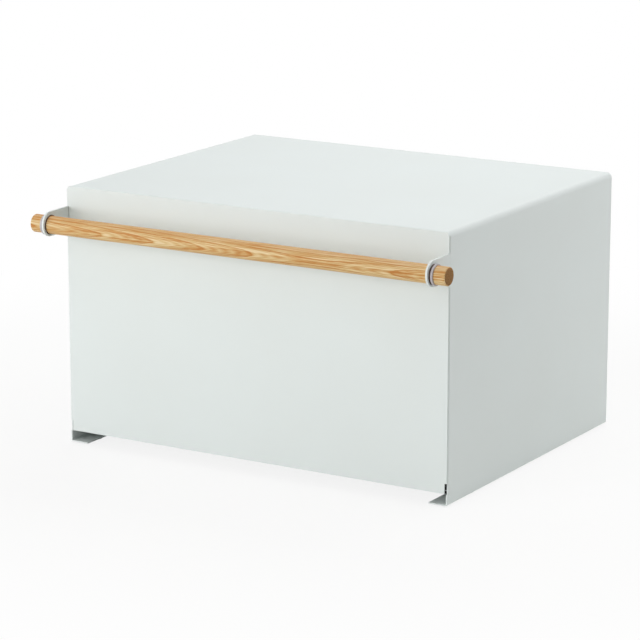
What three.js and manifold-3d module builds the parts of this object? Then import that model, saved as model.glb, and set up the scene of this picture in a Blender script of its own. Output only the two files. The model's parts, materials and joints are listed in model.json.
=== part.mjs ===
// A steel bread box with a drop-down front and a wooden bar handle, in millimetres, +Z up.
// The front's outer face lies at Y = 0 before the last shift, the back is towards +Y, and the
// box's middle is at X = 0. Heights inside the box are measured from the underside of its folded feet.
import * as THREE from "three";
import { mergeVertices } from "three/addons/utils/BufferGeometryUtils.js";
import Module from "manifold-3d";

const wasm = await Module();
wasm.setup();

// Outer shell
const boxWidth = 400;
const boxDepth = 316;
const boxHeight = 243;
const shellSheet = 1.2;
const topBendRadius = 6;
const footReturn = 18.5;
const footBendRadius = 2.2;
const footFrontHeight = 10.5;

// Door
const doorSheet = 1.5;
const doorSideInset = 0.6;
const doorTopInset = 0.3;
const doorBottomHeight = 11;
const doorNotchWidth = 2.6;
const doorNotchHeight = 9.3;

// Door ears and the bar that they carry
const earSheet = 2;
const earTopDrop = 19;
const earEndRadius = 11.5;
const earReach = 39.2;
const earRootDrop = 5.7;
const earCoveLength = 20;
const barRadius = 8.25;
const barOverhang = 15;
const barEdgeRadius = 0.9;
const barHoleRadius = 9.35;
const ringRadius = 9.6;
const ringWidth = 2.5;
const ringEdgeRadius = 0.9;
const ringPlay = 1.3;

// Hinges at the door's bottom corners
const hingeSetback = 5;
const studRadius = 1.25;
const studEndRoom = 0.5;
const tabEndRadius = 3;
const washerRadius = 3.1;
const washerThickness = 0.8;
const clipRadius = 2.9;
const clipThickness = 0.6;

// Floor and back
const floorHeight = 22;
const floorSheet = 1.2;
const floorFlange = 9;
const floorFrontSetback = 3;
const floorCornerWidth = 12;
const floorCornerDepth = 10;
const backSheet = 1.2;
const backFlange = 10;
const ventRadius = 3;
const ventPitch = 18;
const ventCount = 9;
const ventDrop = 28;

// Front rail with the magnets and buffers
const railSheet = 1.2;
const railHeight = 15.5;
const railDepth = 14;
const railEndMargin = 14;
const magnetRadius = 6;
const magnetThickness = 3;
const magnetGap = 0.4;
const magnetEndMargin = 36;
const rivetShankRadius = 1.5;
const rivetHeadRadius = 2.8;
const rivetHeadDepth = 1.2;
const rivetTailRadius = 2.6;
const rivetTailThickness = 0.9;
const bufferRadius = 4;
const bufferEndMargin = 13;
const bufferEdgeRadius = 0.8;

// Foot pads
const padRadius = 6;
const padHeight = 1.5;
const padEndMargin = 25;
const padEdgeRadius = 0.4;

// Fits: between nested sheets, round pins, pieces that turn or touch, and the overrun of a cut
const sheetGap = 0.2;
const pinGap = 0.1;
const seatGap = 0.3;
const overrun = 2;

// Facets: segments of a quarter bend, and of a full turn on large, middle and small round pieces
const bendSegments = 6;
const largeTurn = 40;
const middleTurn = 24;
const smallTurn = 16;

const sides = [{ name: "left", sign: -1 }, { name: "right", sign: 1 }];
const quarter = Math.PI / 2;

const finishes = {
  whitePaint: { color: 0xe4e8e4, roughness: 0.55, metalness: 0 },
  ashWood: { color: 0xd3a063, roughness: 0.6, metalness: 0 },
  greySilicone: { color: 0xa9a4a6, roughness: 0.65, metalness: 0 },
  steel: { color: 0xb4b7ba, roughness: 0.35, metalness: 1 },
  magnetPlate: { color: 0x9da1a6, roughness: 0.3, metalness: 1 },
  whiteNylon: { color: 0xe6e4de, roughness: 0.5, metalness: 0 },
};

// Turns that lay a flat outline's x, y and depth along the box's axes
const axes = {
  x: new THREE.Vector3(1, 0, 0),
  y: new THREE.Vector3(0, 1, 0),
  z: new THREE.Vector3(0, 0, 1),
};
const outlineFacingFront = new THREE.Matrix4().makeBasis(axes.x, axes.z, axes.y.clone().negate());
const outlineFacingRight = new THREE.Matrix4().makeBasis(axes.y, axes.z, axes.x);
const latheAlongX = new THREE.Matrix4().makeBasis(axes.z, axes.x, axes.y);
const latheAlongZ = new THREE.Matrix4().makeBasis(axes.x, axes.z, axes.y.clone().negate());

function solidOf(geometry) {
  const bare = geometry.clone();
  bare.deleteAttribute("normal");
  bare.deleteAttribute("uv");
  const merged = mergeVertices(bare);
  return new wasm.Manifold(new wasm.Mesh({
    numProp: 3,
    vertProperties: merged.attributes.position.array,
    triVerts: new Uint32Array(merged.index.array),
  }));
}

function geometryOf(solid) {
  const mesh = solid.getMesh();
  const geometry = new THREE.BufferGeometry();
  geometry.setAttribute("position", new THREE.BufferAttribute(mesh.vertProperties, 3));
  geometry.setIndex(new THREE.BufferAttribute(mesh.triVerts, 1));
  geometry.computeVertexNormals();
  return geometry;
}

function cut(body, ...tools) {
  return tools.reduce((left, tool) => left.subtract(solidOf(tool)), body);
}

// From `near` to `far`, both measured outward from the box's middle to its left or right
function acrossOn(sign, near, far) {
  return [near * sign, far * sign].sort((a, b) => a - b);
}

function block([x0, x1], [y0, y1], [z0, z1]) {
  const box = new THREE.BoxGeometry(x1 - x0, y1 - y0, z1 - z0);
  return box.translate((x0 + x1) / 2, (y0 + y1) / 2, (z0 + z1) / 2);
}

// An outline in X and Z, drawn as seen from the front and filled from y0 back to y1
function plateFacingFront(shape, y0, y1) {
  const plate = new THREE.ExtrudeGeometry(shape, {
    depth: y1 - y0, bevelEnabled: false, curveSegments: bendSegments,
  });
  return plate.applyMatrix4(outlineFacingFront).translate(0, y1, 0);
}

// An outline in Y and Z, filled from x0 to x1
function plateFacingRight(shape, x0, x1) {
  const plate = new THREE.ExtrudeGeometry(shape, {
    depth: x1 - x0, bevelEnabled: false, curveSegments: bendSegments,
  });
  return plate.applyMatrix4(outlineFacingRight).translate(x0, 0, 0);
}

// A round piece turned about its own axis: its profile is a list of [radius, place on the axis]
function turned(profile, segments) {
  return new THREE.LatheGeometry(profile.map(([r, at]) => new THREE.Vector2(r, at)), segments);
}

function rodAlongX(radius, x0, x1, segments) {
  return turned([[0, x0], [radius, x0], [radius, x1], [0, x1]], segments).applyMatrix4(latheAlongX);
}

function rodAlongY(radius, y0, y1, segments) {
  return turned([[0, y0], [radius, y0], [radius, y1], [0, y1]], segments);
}

// A quarter round from one profile point to the next, about a centre
function roundedCorner(centreRadius, centreAt, radius, fromAngle, toAngle, steps = bendSegments) {
  return Array.from({ length: steps + 1 }, (_, i) => {
    const angle = fromAngle + (toAngle - fromAngle) * i / steps;
    return [centreRadius + radius * Math.cos(angle), centreAt + radius * Math.sin(angle)];
  });
}

// The box's outside as seen from the front, grown inward by an inset, with only its top corners round
function archOutline(sideInset, topInset, bottom) {
  const half = boxWidth / 2 - sideInset;
  const top = boxHeight - topInset;
  const radius = topBendRadius - Math.max(sideInset, topInset);
  const shape = new THREE.Shape();
  shape.moveTo(-half, bottom);
  shape.lineTo(half, bottom);
  shape.lineTo(half, top - radius);
  shape.absarc(half - radius, top - radius, radius, 0, quarter);
  shape.absarc(radius - half, top - radius, radius, quarter, Math.PI);
  return shape;
}

// One bent strip: up the left side, over the top and down the right, with both feet folded inward
function shellOutline() {
  const half = boxWidth / 2;
  const footInner = footBendRadius - shellSheet;
  const topInner = topBendRadius - shellSheet;
  const topCentre = boxHeight - topBendRadius;
  const shape = new THREE.Shape();
  shape.moveTo(half - footReturn, 0);
  shape.lineTo(half - footBendRadius, 0);
  shape.absarc(half - footBendRadius, footBendRadius, footBendRadius, -quarter, 0);
  shape.absarc(half - topBendRadius, topCentre, topBendRadius, 0, quarter);
  shape.absarc(topBendRadius - half, topCentre, topBendRadius, quarter, Math.PI);
  shape.absarc(footBendRadius - half, footBendRadius, footBendRadius, Math.PI, Math.PI + quarter);
  shape.lineTo(footReturn - half, 0);
  shape.lineTo(footReturn - half, shellSheet);
  shape.absarc(footBendRadius - half, footBendRadius, footInner, Math.PI + quarter, Math.PI, true);
  shape.absarc(topBendRadius - half, topCentre, topInner, Math.PI, quarter, true);
  shape.absarc(half - topBendRadius, topCentre, topInner, quarter, 0, true);
  shape.absarc(half - footBendRadius, footBendRadius, footInner, 0, -quarter, true);
  shape.lineTo(half - footReturn, shellSheet);
  return shape;
}

// Above its feet, the shell's front edge is set back by the door's thickness, and the door closes on it
function outerShell() {
  const half = boxWidth / 2;
  const doorRoom = block([-half - overrun, half + overrun], [-overrun, doorSheet],
    [footFrontHeight, boxHeight + overrun]);
  return cut(solidOf(plateFacingFront(shellOutline(), 0, boxDepth)), doorRoom);
}

// The door's edge where an ear's root is let in, and where the hinge tab folds back
const earInner = boxWidth / 2 - earSheet;
const notchInner = boxWidth / 2 - doorSideInset - doorNotchWidth;
const tabInner = notchInner - doorSheet;
const earTopHeight = boxHeight - earTopDrop;
const earCentreHeight = earTopHeight - earEndRadius;
const earRootHeight = earCentreHeight - earEndRadius - earRootDrop;
const earCentreReach = earReach - earEndRadius;

// The tab's round end comes down as far as the door does, and the hinge's axis runs through its middle
const hingeHeight = doorBottomHeight + tabEndRadius;

function hingeTabOutline() {
  const shape = new THREE.Shape();
  shape.moveTo(0, hingeHeight - tabEndRadius);
  shape.absarc(hingeSetback, hingeHeight, tabEndRadius, -quarter, quarter);
  shape.lineTo(0, hingeHeight + tabEndRadius);
  return shape;
}

function doorPanel() {
  const outline = archOutline(doorSideInset, doorTopInset, doorBottomHeight);
  let door = solidOf(plateFacingFront(outline, 0, doorSheet));
  for (const { sign } of sides) {
    const outside = boxWidth / 2 + overrun;
    const notch = block(acrossOn(sign, notchInner, outside), [-overrun, doorSheet + overrun],
      [doorBottomHeight - overrun, doorBottomHeight + doorNotchHeight]);
    const earSeat = block(acrossOn(sign, earInner, outside), [-overrun, doorSheet + overrun],
      [earRootHeight, earTopHeight]);
    const tabSpan = acrossOn(sign, tabInner, notchInner);
    const tab = solidOf(plateFacingRight(hingeTabOutline(), ...tabSpan));
    const bore = rodAlongX(studRadius + pinGap, tabSpan[0] - overrun, tabSpan[1] + overrun, smallTurn)
      .translate(0, hingeSetback, hingeHeight);
    door = cut(cut(door, notch, earSeat).add(tab), bore);
  }
  return door;
}

// Straight on top, a half round end about the bar, and a cove that widens the root underneath
function earOutline() {
  const bottom = earCentreHeight - earEndRadius;
  const coveRadius = (earCoveLength ** 2 + earRootDrop ** 2) / (2 * earRootDrop);
  const coveAngle = Math.asin(earCoveLength / coveRadius);
  const shape = new THREE.Shape();
  shape.moveTo(doorSheet, earTopHeight);
  shape.lineTo(-earCentreReach, earTopHeight);
  shape.absarc(-earCentreReach, earCentreHeight, earEndRadius, quarter, 3 * quarter);
  shape.absarc(-earCoveLength, bottom - coveRadius, coveRadius, quarter, quarter - coveAngle, true);
  shape.lineTo(doorSheet, earRootHeight);
  return shape;
}

function doorEar(sign) {
  const span = acrossOn(sign, earInner, boxWidth / 2);
  const hole = rodAlongX(barHoleRadius, span[0] - overrun, span[1] + overrun, largeTurn)
    .translate(0, -earCentreReach, earCentreHeight);
  return cut(solidOf(plateFacingRight(earOutline(), ...span)), hole);
}

// The bar lies in the bottom of its two holes
const barHeight = earCentreHeight - (barHoleRadius - barRadius - seatGap);

function handleBar() {
  const end = boxWidth / 2 + barOverhang;
  const flat = barRadius - barEdgeRadius;
  const profile = [
    [0, -end],
    ...roundedCorner(flat, barEdgeRadius - end, barEdgeRadius, -quarter, 0, bendSegments / 2),
    ...roundedCorner(flat, end - barEdgeRadius, barEdgeRadius, 0, quarter, bendSegments / 2),
    [0, end],
  ];
  return turned(profile, largeTurn).applyMatrix4(latheAlongX).translate(0, -earCentreReach, barHeight);
}

// A band of soft silicone round the bar, a little outside an ear
function barRing(sign) {
  const inner = barRadius + pinGap;
  const edge = ringEdgeRadius;
  const profile = [
    [inner, 0],
    ...roundedCorner(ringRadius - edge, edge, edge, -quarter, 0, bendSegments / 2),
    ...roundedCorner(ringRadius - edge, ringWidth - edge, edge, 0, quarter, bendSegments / 2),
    [inner, ringWidth],
    [inner, 0],
  ];
  const near = boxWidth / 2 + ringPlay;
  const [start] = acrossOn(sign, near, near + ringWidth);
  return turned(profile, largeTurn).applyMatrix4(latheAlongX).translate(start, -earCentreReach, barHeight);
}

// A piece on a hinge stud spans from `near` to `far`, both measured inward from the stud's weld
function onStud(sign, near, far, make) {
  const weld = boxWidth / 2 - shellSheet;
  return make(acrossOn(sign, weld - near, weld - far)).translate(0, hingeSetback, hingeHeight);
}

const tabDepth = boxWidth / 2 - shellSheet - tabInner;
const washerStart = tabDepth + seatGap;
const clipStart = washerStart + washerThickness + seatGap / 2;
const studLength = clipStart + clipThickness + studEndRoom;

function hingeStud(sign) {
  return onStud(sign, 0, studLength, ([x0, x1]) => rodAlongX(studRadius, x0, x1, smallTurn));
}

function flatRing(outerRadius, [x0, x1]) {
  const inner = studRadius + pinGap;
  const profile = [[inner, x0], [outerRadius, x0], [outerRadius, x1], [inner, x1], [inner, x0]];
  return turned(profile, smallTurn).applyMatrix4(latheAlongX);
}

function hingeWasher(sign) {
  return onStud(sign, washerStart, washerStart + washerThickness, (span) => flatRing(washerRadius, span));
}

function hingeClip(sign) {
  return onStud(sign, clipStart, clipStart + clipThickness, (span) => flatRing(clipRadius, span));
}

// A shallow tray turned over: its flanges stiffen it and are welded to the sides and the back
function floorPanel() {
  const half = boxWidth / 2 - shellSheet - sheetGap;
  const rear = boxDepth - backSheet - sheetGap;
  const bottom = floorHeight - floorFlange;
  const tray = solidOf(block([-half, half], [floorFrontSetback, rear], [bottom, floorHeight]));
  const hollow = block([floorSheet - half, half - floorSheet],
    [floorFrontSetback + floorSheet, rear - floorSheet], [bottom - overrun, floorHeight - floorSheet]);
  const corners = sides.map(({ sign }) => block(
    acrossOn(sign, half - floorCornerWidth, half + overrun),
    [floorFrontSetback - overrun, floorFrontSetback + floorCornerDepth],
    [bottom - overrun, floorHeight + overrun],
  ));
  return cut(tray, hollow, ...corners);
}

function ventHoles() {
  const height = boxHeight - ventDrop;
  const first = -ventPitch * (ventCount - 1) / 2;
  return Array.from({ length: ventCount }, (_, i) => rodAlongY(
    ventRadius, boxDepth - backSheet - overrun, boxDepth + overrun, smallTurn,
  ).translate(first + ventPitch * i, 0, height));
}

// A flat sheet inside the shell's rear end, with flanges folded forward along its top and sides
function backPanel() {
  const inset = shellSheet + sheetGap;
  const front = boxDepth - backSheet - backFlange;
  const panel = solidOf(plateFacingFront(archOutline(inset, inset, doorBottomHeight), front, boxDepth));
  const inside = plateFacingFront(
    archOutline(inset + backSheet, inset + backSheet, doorBottomHeight - overrun),
    front - overrun, boxDepth - backSheet,
  );
  const half = boxWidth / 2;
  const floorRoom = block([-half, half], [front - overrun, boxDepth - backSheet],
    [doorBottomHeight - overrun, floorHeight + sheetGap]);
  return cut(panel, inside, floorRoom, ...ventHoles());
}

// The rail's front face stands behind the closed door by the magnets' thickness and their gap
const railFront = doorSheet + magnetGap + magnetThickness;
const railTop = boxHeight - shellSheet - sheetGap;
const railMiddle = railTop - railSheet - (railHeight - railSheet) / 2;
const railHalf = boxWidth / 2 - railEndMargin;

// What the rail carries stands in the middle of its height, at a distance from its left or right end
function onRail(sign, endMargin, piece) {
  return piece.translate(sign * (railHalf - endMargin), 0, railMiddle);
}

function frontRail() {
  const rear = railFront + railDepth;
  const bottom = railTop - railHeight;
  const angle = solidOf(block([-railHalf, railHalf], [railFront, rear], [bottom, railTop]));
  const hollow = block([-railHalf - overrun, railHalf + overrun], [railFront + railSheet, rear + overrun],
    [bottom - overrun, railTop - railSheet]);
  const holes = sides.map(({ sign }) => onRail(sign, magnetEndMargin, rodAlongY(
    rivetShankRadius + pinGap, railFront - overrun, railFront + railSheet + overrun, smallTurn,
  )));
  return cut(angle, hollow, ...holes);
}

// A disc magnet with a countersunk hole
function catchMagnet() {
  const front = railFront - magnetThickness;
  const bore = rivetShankRadius + pinGap;
  const mouth = rivetHeadRadius + pinGap;
  return turned([
    [mouth, front], [magnetRadius, front], [magnetRadius, railFront], [bore, railFront],
    [bore, front + rivetHeadDepth + pinGap], [mouth, front],
  ], middleTurn);
}

// A countersunk head in the magnet, a shank through the rail and a flat tail behind it
function magnetRivet() {
  const head = railFront - magnetThickness + pinGap;
  const tail = railFront + railSheet + pinGap;
  return turned([
    [0, head], [rivetHeadRadius, head], [rivetShankRadius, head + rivetHeadDepth],
    [rivetShankRadius, tail], [rivetTailRadius, tail], [rivetTailRadius, tail + rivetTailThickness],
    [0, tail + rivetTailThickness],
  ], smallTurn);
}

function doorBuffer() {
  const front = doorSheet + seatGap;
  const edge = bufferEdgeRadius;
  const nose = roundedCorner(bufferRadius - edge, front + edge, edge, -quarter, 0, bendSegments / 2);
  return turned([[0, front], ...nose, [bufferRadius, railFront], [0, railFront]], smallTurn);
}

function footPad() {
  const edge = padEdgeRadius;
  const rim = roundedCorner(padRadius - edge, edge - padHeight, edge, -quarter, 0, bendSegments / 2);
  return turned([[0, -padHeight], ...rim, [padRadius, 0], [0, 0]], middleTurn).applyMatrix4(latheAlongZ);
}

// The box stands on its pads, with the middle of its outermost sizes over the origin
const breadBox = new THREE.Group();
breadBox.position.set(0, (earReach - boxDepth) / 2, padHeight);

function addPiece(name, shape, finish) {
  const geometry = shape.isBufferGeometry ? shape : geometryOf(shape);
  const piece = new THREE.Mesh(geometry, new THREE.MeshStandardMaterial(finishes[finish]));
  piece.name = name;
  breadBox.add(piece);
}

addPiece("outer_shell", outerShell(), "whitePaint");
addPiece("back_panel", backPanel(), "whitePaint");
addPiece("floor_panel", floorPanel(), "whitePaint");
addPiece("front_rail", frontRail(), "whitePaint");
addPiece("door_panel", doorPanel(), "whitePaint");
addPiece("handle_bar", handleBar(), "ashWood");
for (const { name, sign } of sides) {
  addPiece(`door_ear_${name}`, doorEar(sign), "whitePaint");
  addPiece(`bar_ring_${name}`, barRing(sign), "greySilicone");
  addPiece(`hinge_stud_${name}`, hingeStud(sign), "steel");
  addPiece(`hinge_washer_${name}`, hingeWasher(sign), "whiteNylon");
  addPiece(`hinge_clip_${name}`, hingeClip(sign), "steel");
  addPiece(`catch_magnet_${name}`, onRail(sign, magnetEndMargin, catchMagnet()), "magnetPlate");
  addPiece(`magnet_rivet_${name}`, onRail(sign, magnetEndMargin, magnetRivet()), "steel");
  addPiece(`door_buffer_${name}`, onRail(sign, bufferEndMargin, doorBuffer()), "greySilicone");
}

const padAcross = (boxWidth - footReturn - footBendRadius) / 2;
const padRows = [{ name: "front", along: padEndMargin }, { name: "rear", along: boxDepth - padEndMargin }];
for (const row of padRows) {
  for (const { name, sign } of sides) {
    const pad = footPad().translate(sign * padAcross, row.along, 0);
    addPiece(`foot_pad_${row.name}_${name}`, pad, "greySilicone");
  }
}

const model = new THREE.Group();
model.add(breadBox);
export default model;
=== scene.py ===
# A steel bread box with a drop-down front and a turned ash bar, dressed for its studio picture
import json
import math

import bmesh
import bpy
from mathutils import Matrix, Vector


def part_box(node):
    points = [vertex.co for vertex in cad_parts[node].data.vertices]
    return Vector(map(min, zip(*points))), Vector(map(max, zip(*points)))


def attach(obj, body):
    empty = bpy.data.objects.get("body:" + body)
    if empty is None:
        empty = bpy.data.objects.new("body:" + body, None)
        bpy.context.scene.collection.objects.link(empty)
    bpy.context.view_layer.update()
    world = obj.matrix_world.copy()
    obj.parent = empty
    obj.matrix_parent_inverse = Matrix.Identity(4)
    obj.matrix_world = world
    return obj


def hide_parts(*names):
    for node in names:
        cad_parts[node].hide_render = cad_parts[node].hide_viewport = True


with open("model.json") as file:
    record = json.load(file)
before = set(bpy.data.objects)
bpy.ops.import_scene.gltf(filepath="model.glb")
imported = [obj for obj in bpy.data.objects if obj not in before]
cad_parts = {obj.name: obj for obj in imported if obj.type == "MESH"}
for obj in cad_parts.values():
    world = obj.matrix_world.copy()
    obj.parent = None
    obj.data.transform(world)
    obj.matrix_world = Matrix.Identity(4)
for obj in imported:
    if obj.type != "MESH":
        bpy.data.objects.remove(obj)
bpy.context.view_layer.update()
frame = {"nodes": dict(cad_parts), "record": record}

mm = 0.001
fullTurn = 2 * math.pi
leftAndRight = {"left": -1, "right": 1}
along = {"x": Vector((1, 0, 0)), "y": Vector((0, 1, 0)), "z": Vector((0, 0, 1))}


# Colour and node helpers

def linearFrom(hexColour):
    parts = [int(hexColour[i:i + 2], 16) / 255 for i in (1, 3, 5)]
    linear = [c / 12.92 if c <= 0.04045 else ((c + 0.055) / 1.055) ** 2.4 for c in parts]
    return (*linear, 1)


# kind leaves out the ShaderNode prefix. An input is a value, a socket or a node, whose first live
# output is meant. The stops of a ramp are places with a hex colour or a grey from 0 to 1.
def addNode(tree, kind, settings=None, inputs=None, stops=()):
    node = tree.nodes.new("ShaderNode" + kind)
    for name, value in (settings or {}).items():
        setattr(node, name, value)
    live = {socket.name: socket for socket in node.inputs if socket.enabled}
    for key, value in (inputs or {}).items():
        socket = live[key] if isinstance(key, str) else node.inputs[key]
        if isinstance(value, bpy.types.Node):
            value = next(output for output in value.outputs if output.enabled)
        if isinstance(value, bpy.types.NodeSocket):
            tree.links.new(value, socket)
        else:
            socket.default_value = value
    for i, (place, colour) in enumerate(stops):
        marks = node.color_ramp.elements
        mark = marks[i] if i < len(marks) else marks.new(place)
        mark.position = place
        mark.color = linearFrom(colour) if isinstance(colour, str) else (colour, colour, colour, 1)
    return node


def newMaterial(name):
    material = bpy.data.materials.new(name)
    material.use_nodes = True
    material.node_tree.nodes.clear()
    return material, material.node_tree


# Object coordinates in millimetres from a centre, stretched so that one unit is one grain of a pattern
def patternPlace(tree, grain=(1, 1, 1), centre=(0, 0, 0)):
    spot = addNode(tree, "TexCoord")
    centred = addNode(tree, "VectorMath", {"operation": "SUBTRACT"}, {0: spot.outputs["Object"], 1: centre})
    scale = [1 / (mm * size) for size in grain]
    return addNode(tree, "VectorMath", {"operation": "MULTIPLY"}, {0: centred, 1: scale})


# Materials

paint = {
    "colour": "#e3eae9",
    "shade": "#e0e6e4",
    "cloudSize": 90,  # mm across the very faint clouds of a sprayed coat
    "peelSize": 1.1,  # mm between the bumps of the orange peel, drawn a little coarse so that it shows
    "grainSize": 0.28,  # mm between the fine grains of a matt powder
    "peelDepth": 0.012 * mm,
    "grainDepth": 0.006 * mm,
    "roughness": 0.46,
    "roughnessSpread": 0.1,
    "specular": 0.3,
}


# Polyester powder, sprayed and baked on sheet steel: an even, silky coat with a fine orange peel
def powderCoat():
    material, tree = newMaterial("whitePowderCoat")
    clouds = addNode(tree, "TexNoise", None, {
        "Vector": patternPlace(tree, [paint["cloudSize"]] * 3), "Scale": 1, "Detail": 2,
    })
    peel = addNode(tree, "TexNoise", None, {
        "Vector": patternPlace(tree, [paint["peelSize"]] * 3), "Scale": 1, "Detail": 1.5,
    })
    grain = addNode(tree, "TexNoise", None, {
        "Vector": patternPlace(tree, [paint["grainSize"]] * 3), "Scale": 1, "Detail": 1,
    })
    colour = addNode(tree, "Mix", {"data_type": "RGBA"}, {
        "Factor": clouds, "A": linearFrom(paint["colour"]), "B": linearFrom(paint["shade"]),
    })
    soft = addNode(tree, "Bump", None, {"Height": peel, "Distance": paint["peelDepth"]})
    fine = addNode(tree, "Bump", None, {
        "Height": grain, "Distance": paint["grainDepth"], "Normal": soft,
    })
    roughness = addNode(tree, "Math", {"operation": "MULTIPLY_ADD"}, {
        0: grain, 1: paint["roughnessSpread"], 2: paint["roughness"],
    })
    coat = addNode(tree, "BsdfPrincipled", None, {
        "Base Color": colour, "Roughness": roughness, "Specular IOR Level": paint["specular"],
        "Normal": fine,
    })
    addNode(tree, "OutputMaterial", None, {"Surface": coat})
    return material


ash = {
    "ringSpacing": 2.5,  # mm between growth rings
    "firstRing": 0.984,  # moves all the rings by a share of their spacing
    "pithDepth": 34,  # mm from the bar's axis back to the heart of the tree
    "pithRise": 6,  # mm from the bar's axis up to it
    "runOut": 0.049,  # mm of ring depth for each mm along the bar, up to where the grain turns
    "slowRunOut": 0.03,  # the same to the left of slowFrom, where the rings lie flatter
    "slowFrom": -140,  # mm from the bar's middle
    "slowSoftness": 0.5,
    "runBack": 0.0467,  # the same again, back to the right of where the grain turns
    "turnsAt": 90,  # mm from the bar's middle
    "turnSoftness": 8,
    "wave": (110, 13, 13),  # mm, the slow waves of the rings along and across the bar
    "waveDepth": 1.2,
    "ripple": (60, 2.6, 2.6),  # mm, the small waves
    "rippleDepth": 0.42,
    "ringTones": [(0.0, 0.18), (0.08, 0.27), (0.2, 0.45), (0.45, 0.57), (0.75, 0.68), (0.95, 0.72),
                  (1.0, 0.42)],
    "ringSpread": 0.16,  # how much one ring's tone differs from the next
    "lineShare": 0.34,  # how strong the thin lines between the rings are
    "lineReach": 0.125,  # share of a ring from one of these lines to halfway to the next
    "fibre": (45, 0.85, 0.85),  # mm, drawn a little coarse so that it shows
    "fibreShare": 2.75,
    "pore": (7, 0.55, 0.55),  # mm, the open ends of vessels, drawn coarse as well
    "poreShare": 0.22,
    "poreDepth": 0.05 * mm,
    "poreEdge": [(0.54, 0.0), (0.62, 1.0)],
    "poresInRing": [(0.0, 1.0), (0.22, 0.8), (0.45, 0.15), (0.9, 0.1), (1.0, 1.0)],  # most in early wood
    "tones": [(0.0, "#ba7937"), (0.15, "#c18642"), (0.32, "#c89556"), (0.5, "#cea66d"), (0.7, "#d5b883"),
              (0.85, "#dec493"), (1.0, "#e3cba0")],
    "paintedTopShade": "#c4884f",  # painted shade: the bar's upper side is drawn towards this darker, redder brown
    "paintedTopShadeShare": 0.27,
    "paintedTopShadeFrom": 3.5,  # mm above the bar's axis
    "paintedTopShadeTo": 7.5,
    "endTones": [(0.0, "#63400f"), (0.3, "#7a5220"), (0.6, "#8a602a"), (1.0, "#976c34")],
    "roughness": 0.55,
    "endRoughness": 0.7,
    "specular": 0.3,
}


# One solid piece of ash: its rings are cones about a heart behind the bar, so that they draw long
# arches on the turned surface and arcs on the ends. Gives a tone, the share of the pores and of the painted
# shade along the upper side
def ashGrain(tree):
    low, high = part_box("handle_bar")
    middle = (low + high) / 2
    place = patternPlace(tree, centre=middle)
    wave = addNode(tree, "TexNoise", None, {
        "Vector": patternPlace(tree, ash["wave"], middle), "Scale": 1, "Detail": 1.5,
    })
    ripple = addNode(tree, "TexNoise", None, {
        "Vector": patternPlace(tree, ash["ripple"], middle), "Scale": 1, "Detail": 2,
    })
    across = addNode(tree, "VectorMath", {"operation": "MULTIPLY"}, {0: place, 1: (0, 1, 1)})
    toHeart = addNode(tree, "VectorMath", {"operation": "DISTANCE"}, {
        0: across, 1: (0, ash["pithDepth"], ash["pithRise"]),
    })
    x = addNode(tree, "SeparateXYZ", None, {0: place})
    steep = addNode(tree, "Math", {"operation": "MULTIPLY"}, {0: x, 1: ash["runOut"]})
    slow = addNode(tree, "Math", {"operation": "MULTIPLY_ADD"}, {
        0: x, 1: ash["slowRunOut"], 2: (ash["runOut"] - ash["slowRunOut"]) * ash["slowFrom"],
    })
    rise = addNode(tree, "Math", {"operation": "SMOOTH_MAX"}, {
        0: steep, 1: slow, 2: ash["slowSoftness"],
    })
    fall = addNode(tree, "Math", {"operation": "MULTIPLY_ADD"}, {
        0: x, 1: -ash["runBack"], 2: (ash["runOut"] + ash["runBack"]) * ash["turnsAt"],
    })
    run = addNode(tree, "Math", {"operation": "SMOOTH_MIN"}, {0: rise, 1: fall, 2: ash["turnSoftness"]})
    level = addNode(tree, "Math", {"operation": "SUBTRACT"}, {0: toHeart, 1: run})
    waved = addNode(tree, "Math", {"operation": "MULTIPLY_ADD"}, {0: wave, 1: ash["waveDepth"], 2: level})
    depth = addNode(tree, "Math", {"operation": "MULTIPLY_ADD"}, {
        0: ripple, 1: ash["rippleDepth"], 2: waved,
    })
    phase = addNode(tree, "Math", {"operation": "MULTIPLY_ADD"}, {
        0: depth, 1: 1 / ash["ringSpacing"], 2: ash["firstRing"],
    })
    share = addNode(tree, "Math", {"operation": "FRACT"}, {0: phase})
    ring = addNode(tree, "ValToRGB", None, {"Fac": share}, ash["ringTones"])
    year = addNode(tree, "Math", {"operation": "FLOOR"}, {0: phase})
    growth = addNode(tree, "TexWhiteNoise", {"noise_dimensions": "1D"}, {"W": year})
    varied = addNode(tree, "Math", {"operation": "MULTIPLY_ADD"}, {
        0: growth, 1: ash["ringSpread"], 2: ring,
    })
    lines = addNode(tree, "Math", {"operation": "PINGPONG"}, {0: phase, 1: ash["lineReach"]})
    lined = addNode(tree, "Math", {"operation": "MULTIPLY_ADD"}, {
        0: lines, 1: ash["lineShare"] / ash["lineReach"], 2: varied,
    })
    fibre = addNode(tree, "TexNoise", None, {
        "Vector": patternPlace(tree, ash["fibre"], middle), "Scale": 1, "Detail": 3, "Roughness": 0.6,
    })
    streaked = addNode(tree, "Math", {"operation": "MULTIPLY_ADD"}, {
        0: fibre, 1: ash["fibreShare"], 2: lined,
    })
    mean = (ash["ringSpread"] + ash["lineShare"] + ash["fibreShare"]) / 2
    tone = addNode(tree, "Math", {"operation": "SUBTRACT"}, {0: streaked, 1: mean})
    pores = addNode(tree, "TexNoise", None, {
        "Vector": patternPlace(tree, ash["pore"], middle), "Scale": 1, "Detail": 1,
    })
    early = addNode(tree, "ValToRGB", None, {"Fac": share}, ash["poresInRing"])
    opened = addNode(tree, "ValToRGB", None, {"Fac": pores}, ash["poreEdge"])
    poreShare = addNode(tree, "Math", {"operation": "MULTIPLY"}, {0: opened, 1: early})
    # painted shade: the upper side darkens and reddens with height above the bar's axis
    paintedTopShade = addNode(tree, "MapRange", {"interpolation_type": "SMOOTHSTEP"}, {
        "Value": x.outputs["Z"], "From Min": ash["paintedTopShadeFrom"], "From Max": ash["paintedTopShadeTo"],
        "To Min": 0, "To Max": ash["paintedTopShadeShare"],
    })
    return tone, poreShare, paintedTopShade
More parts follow.
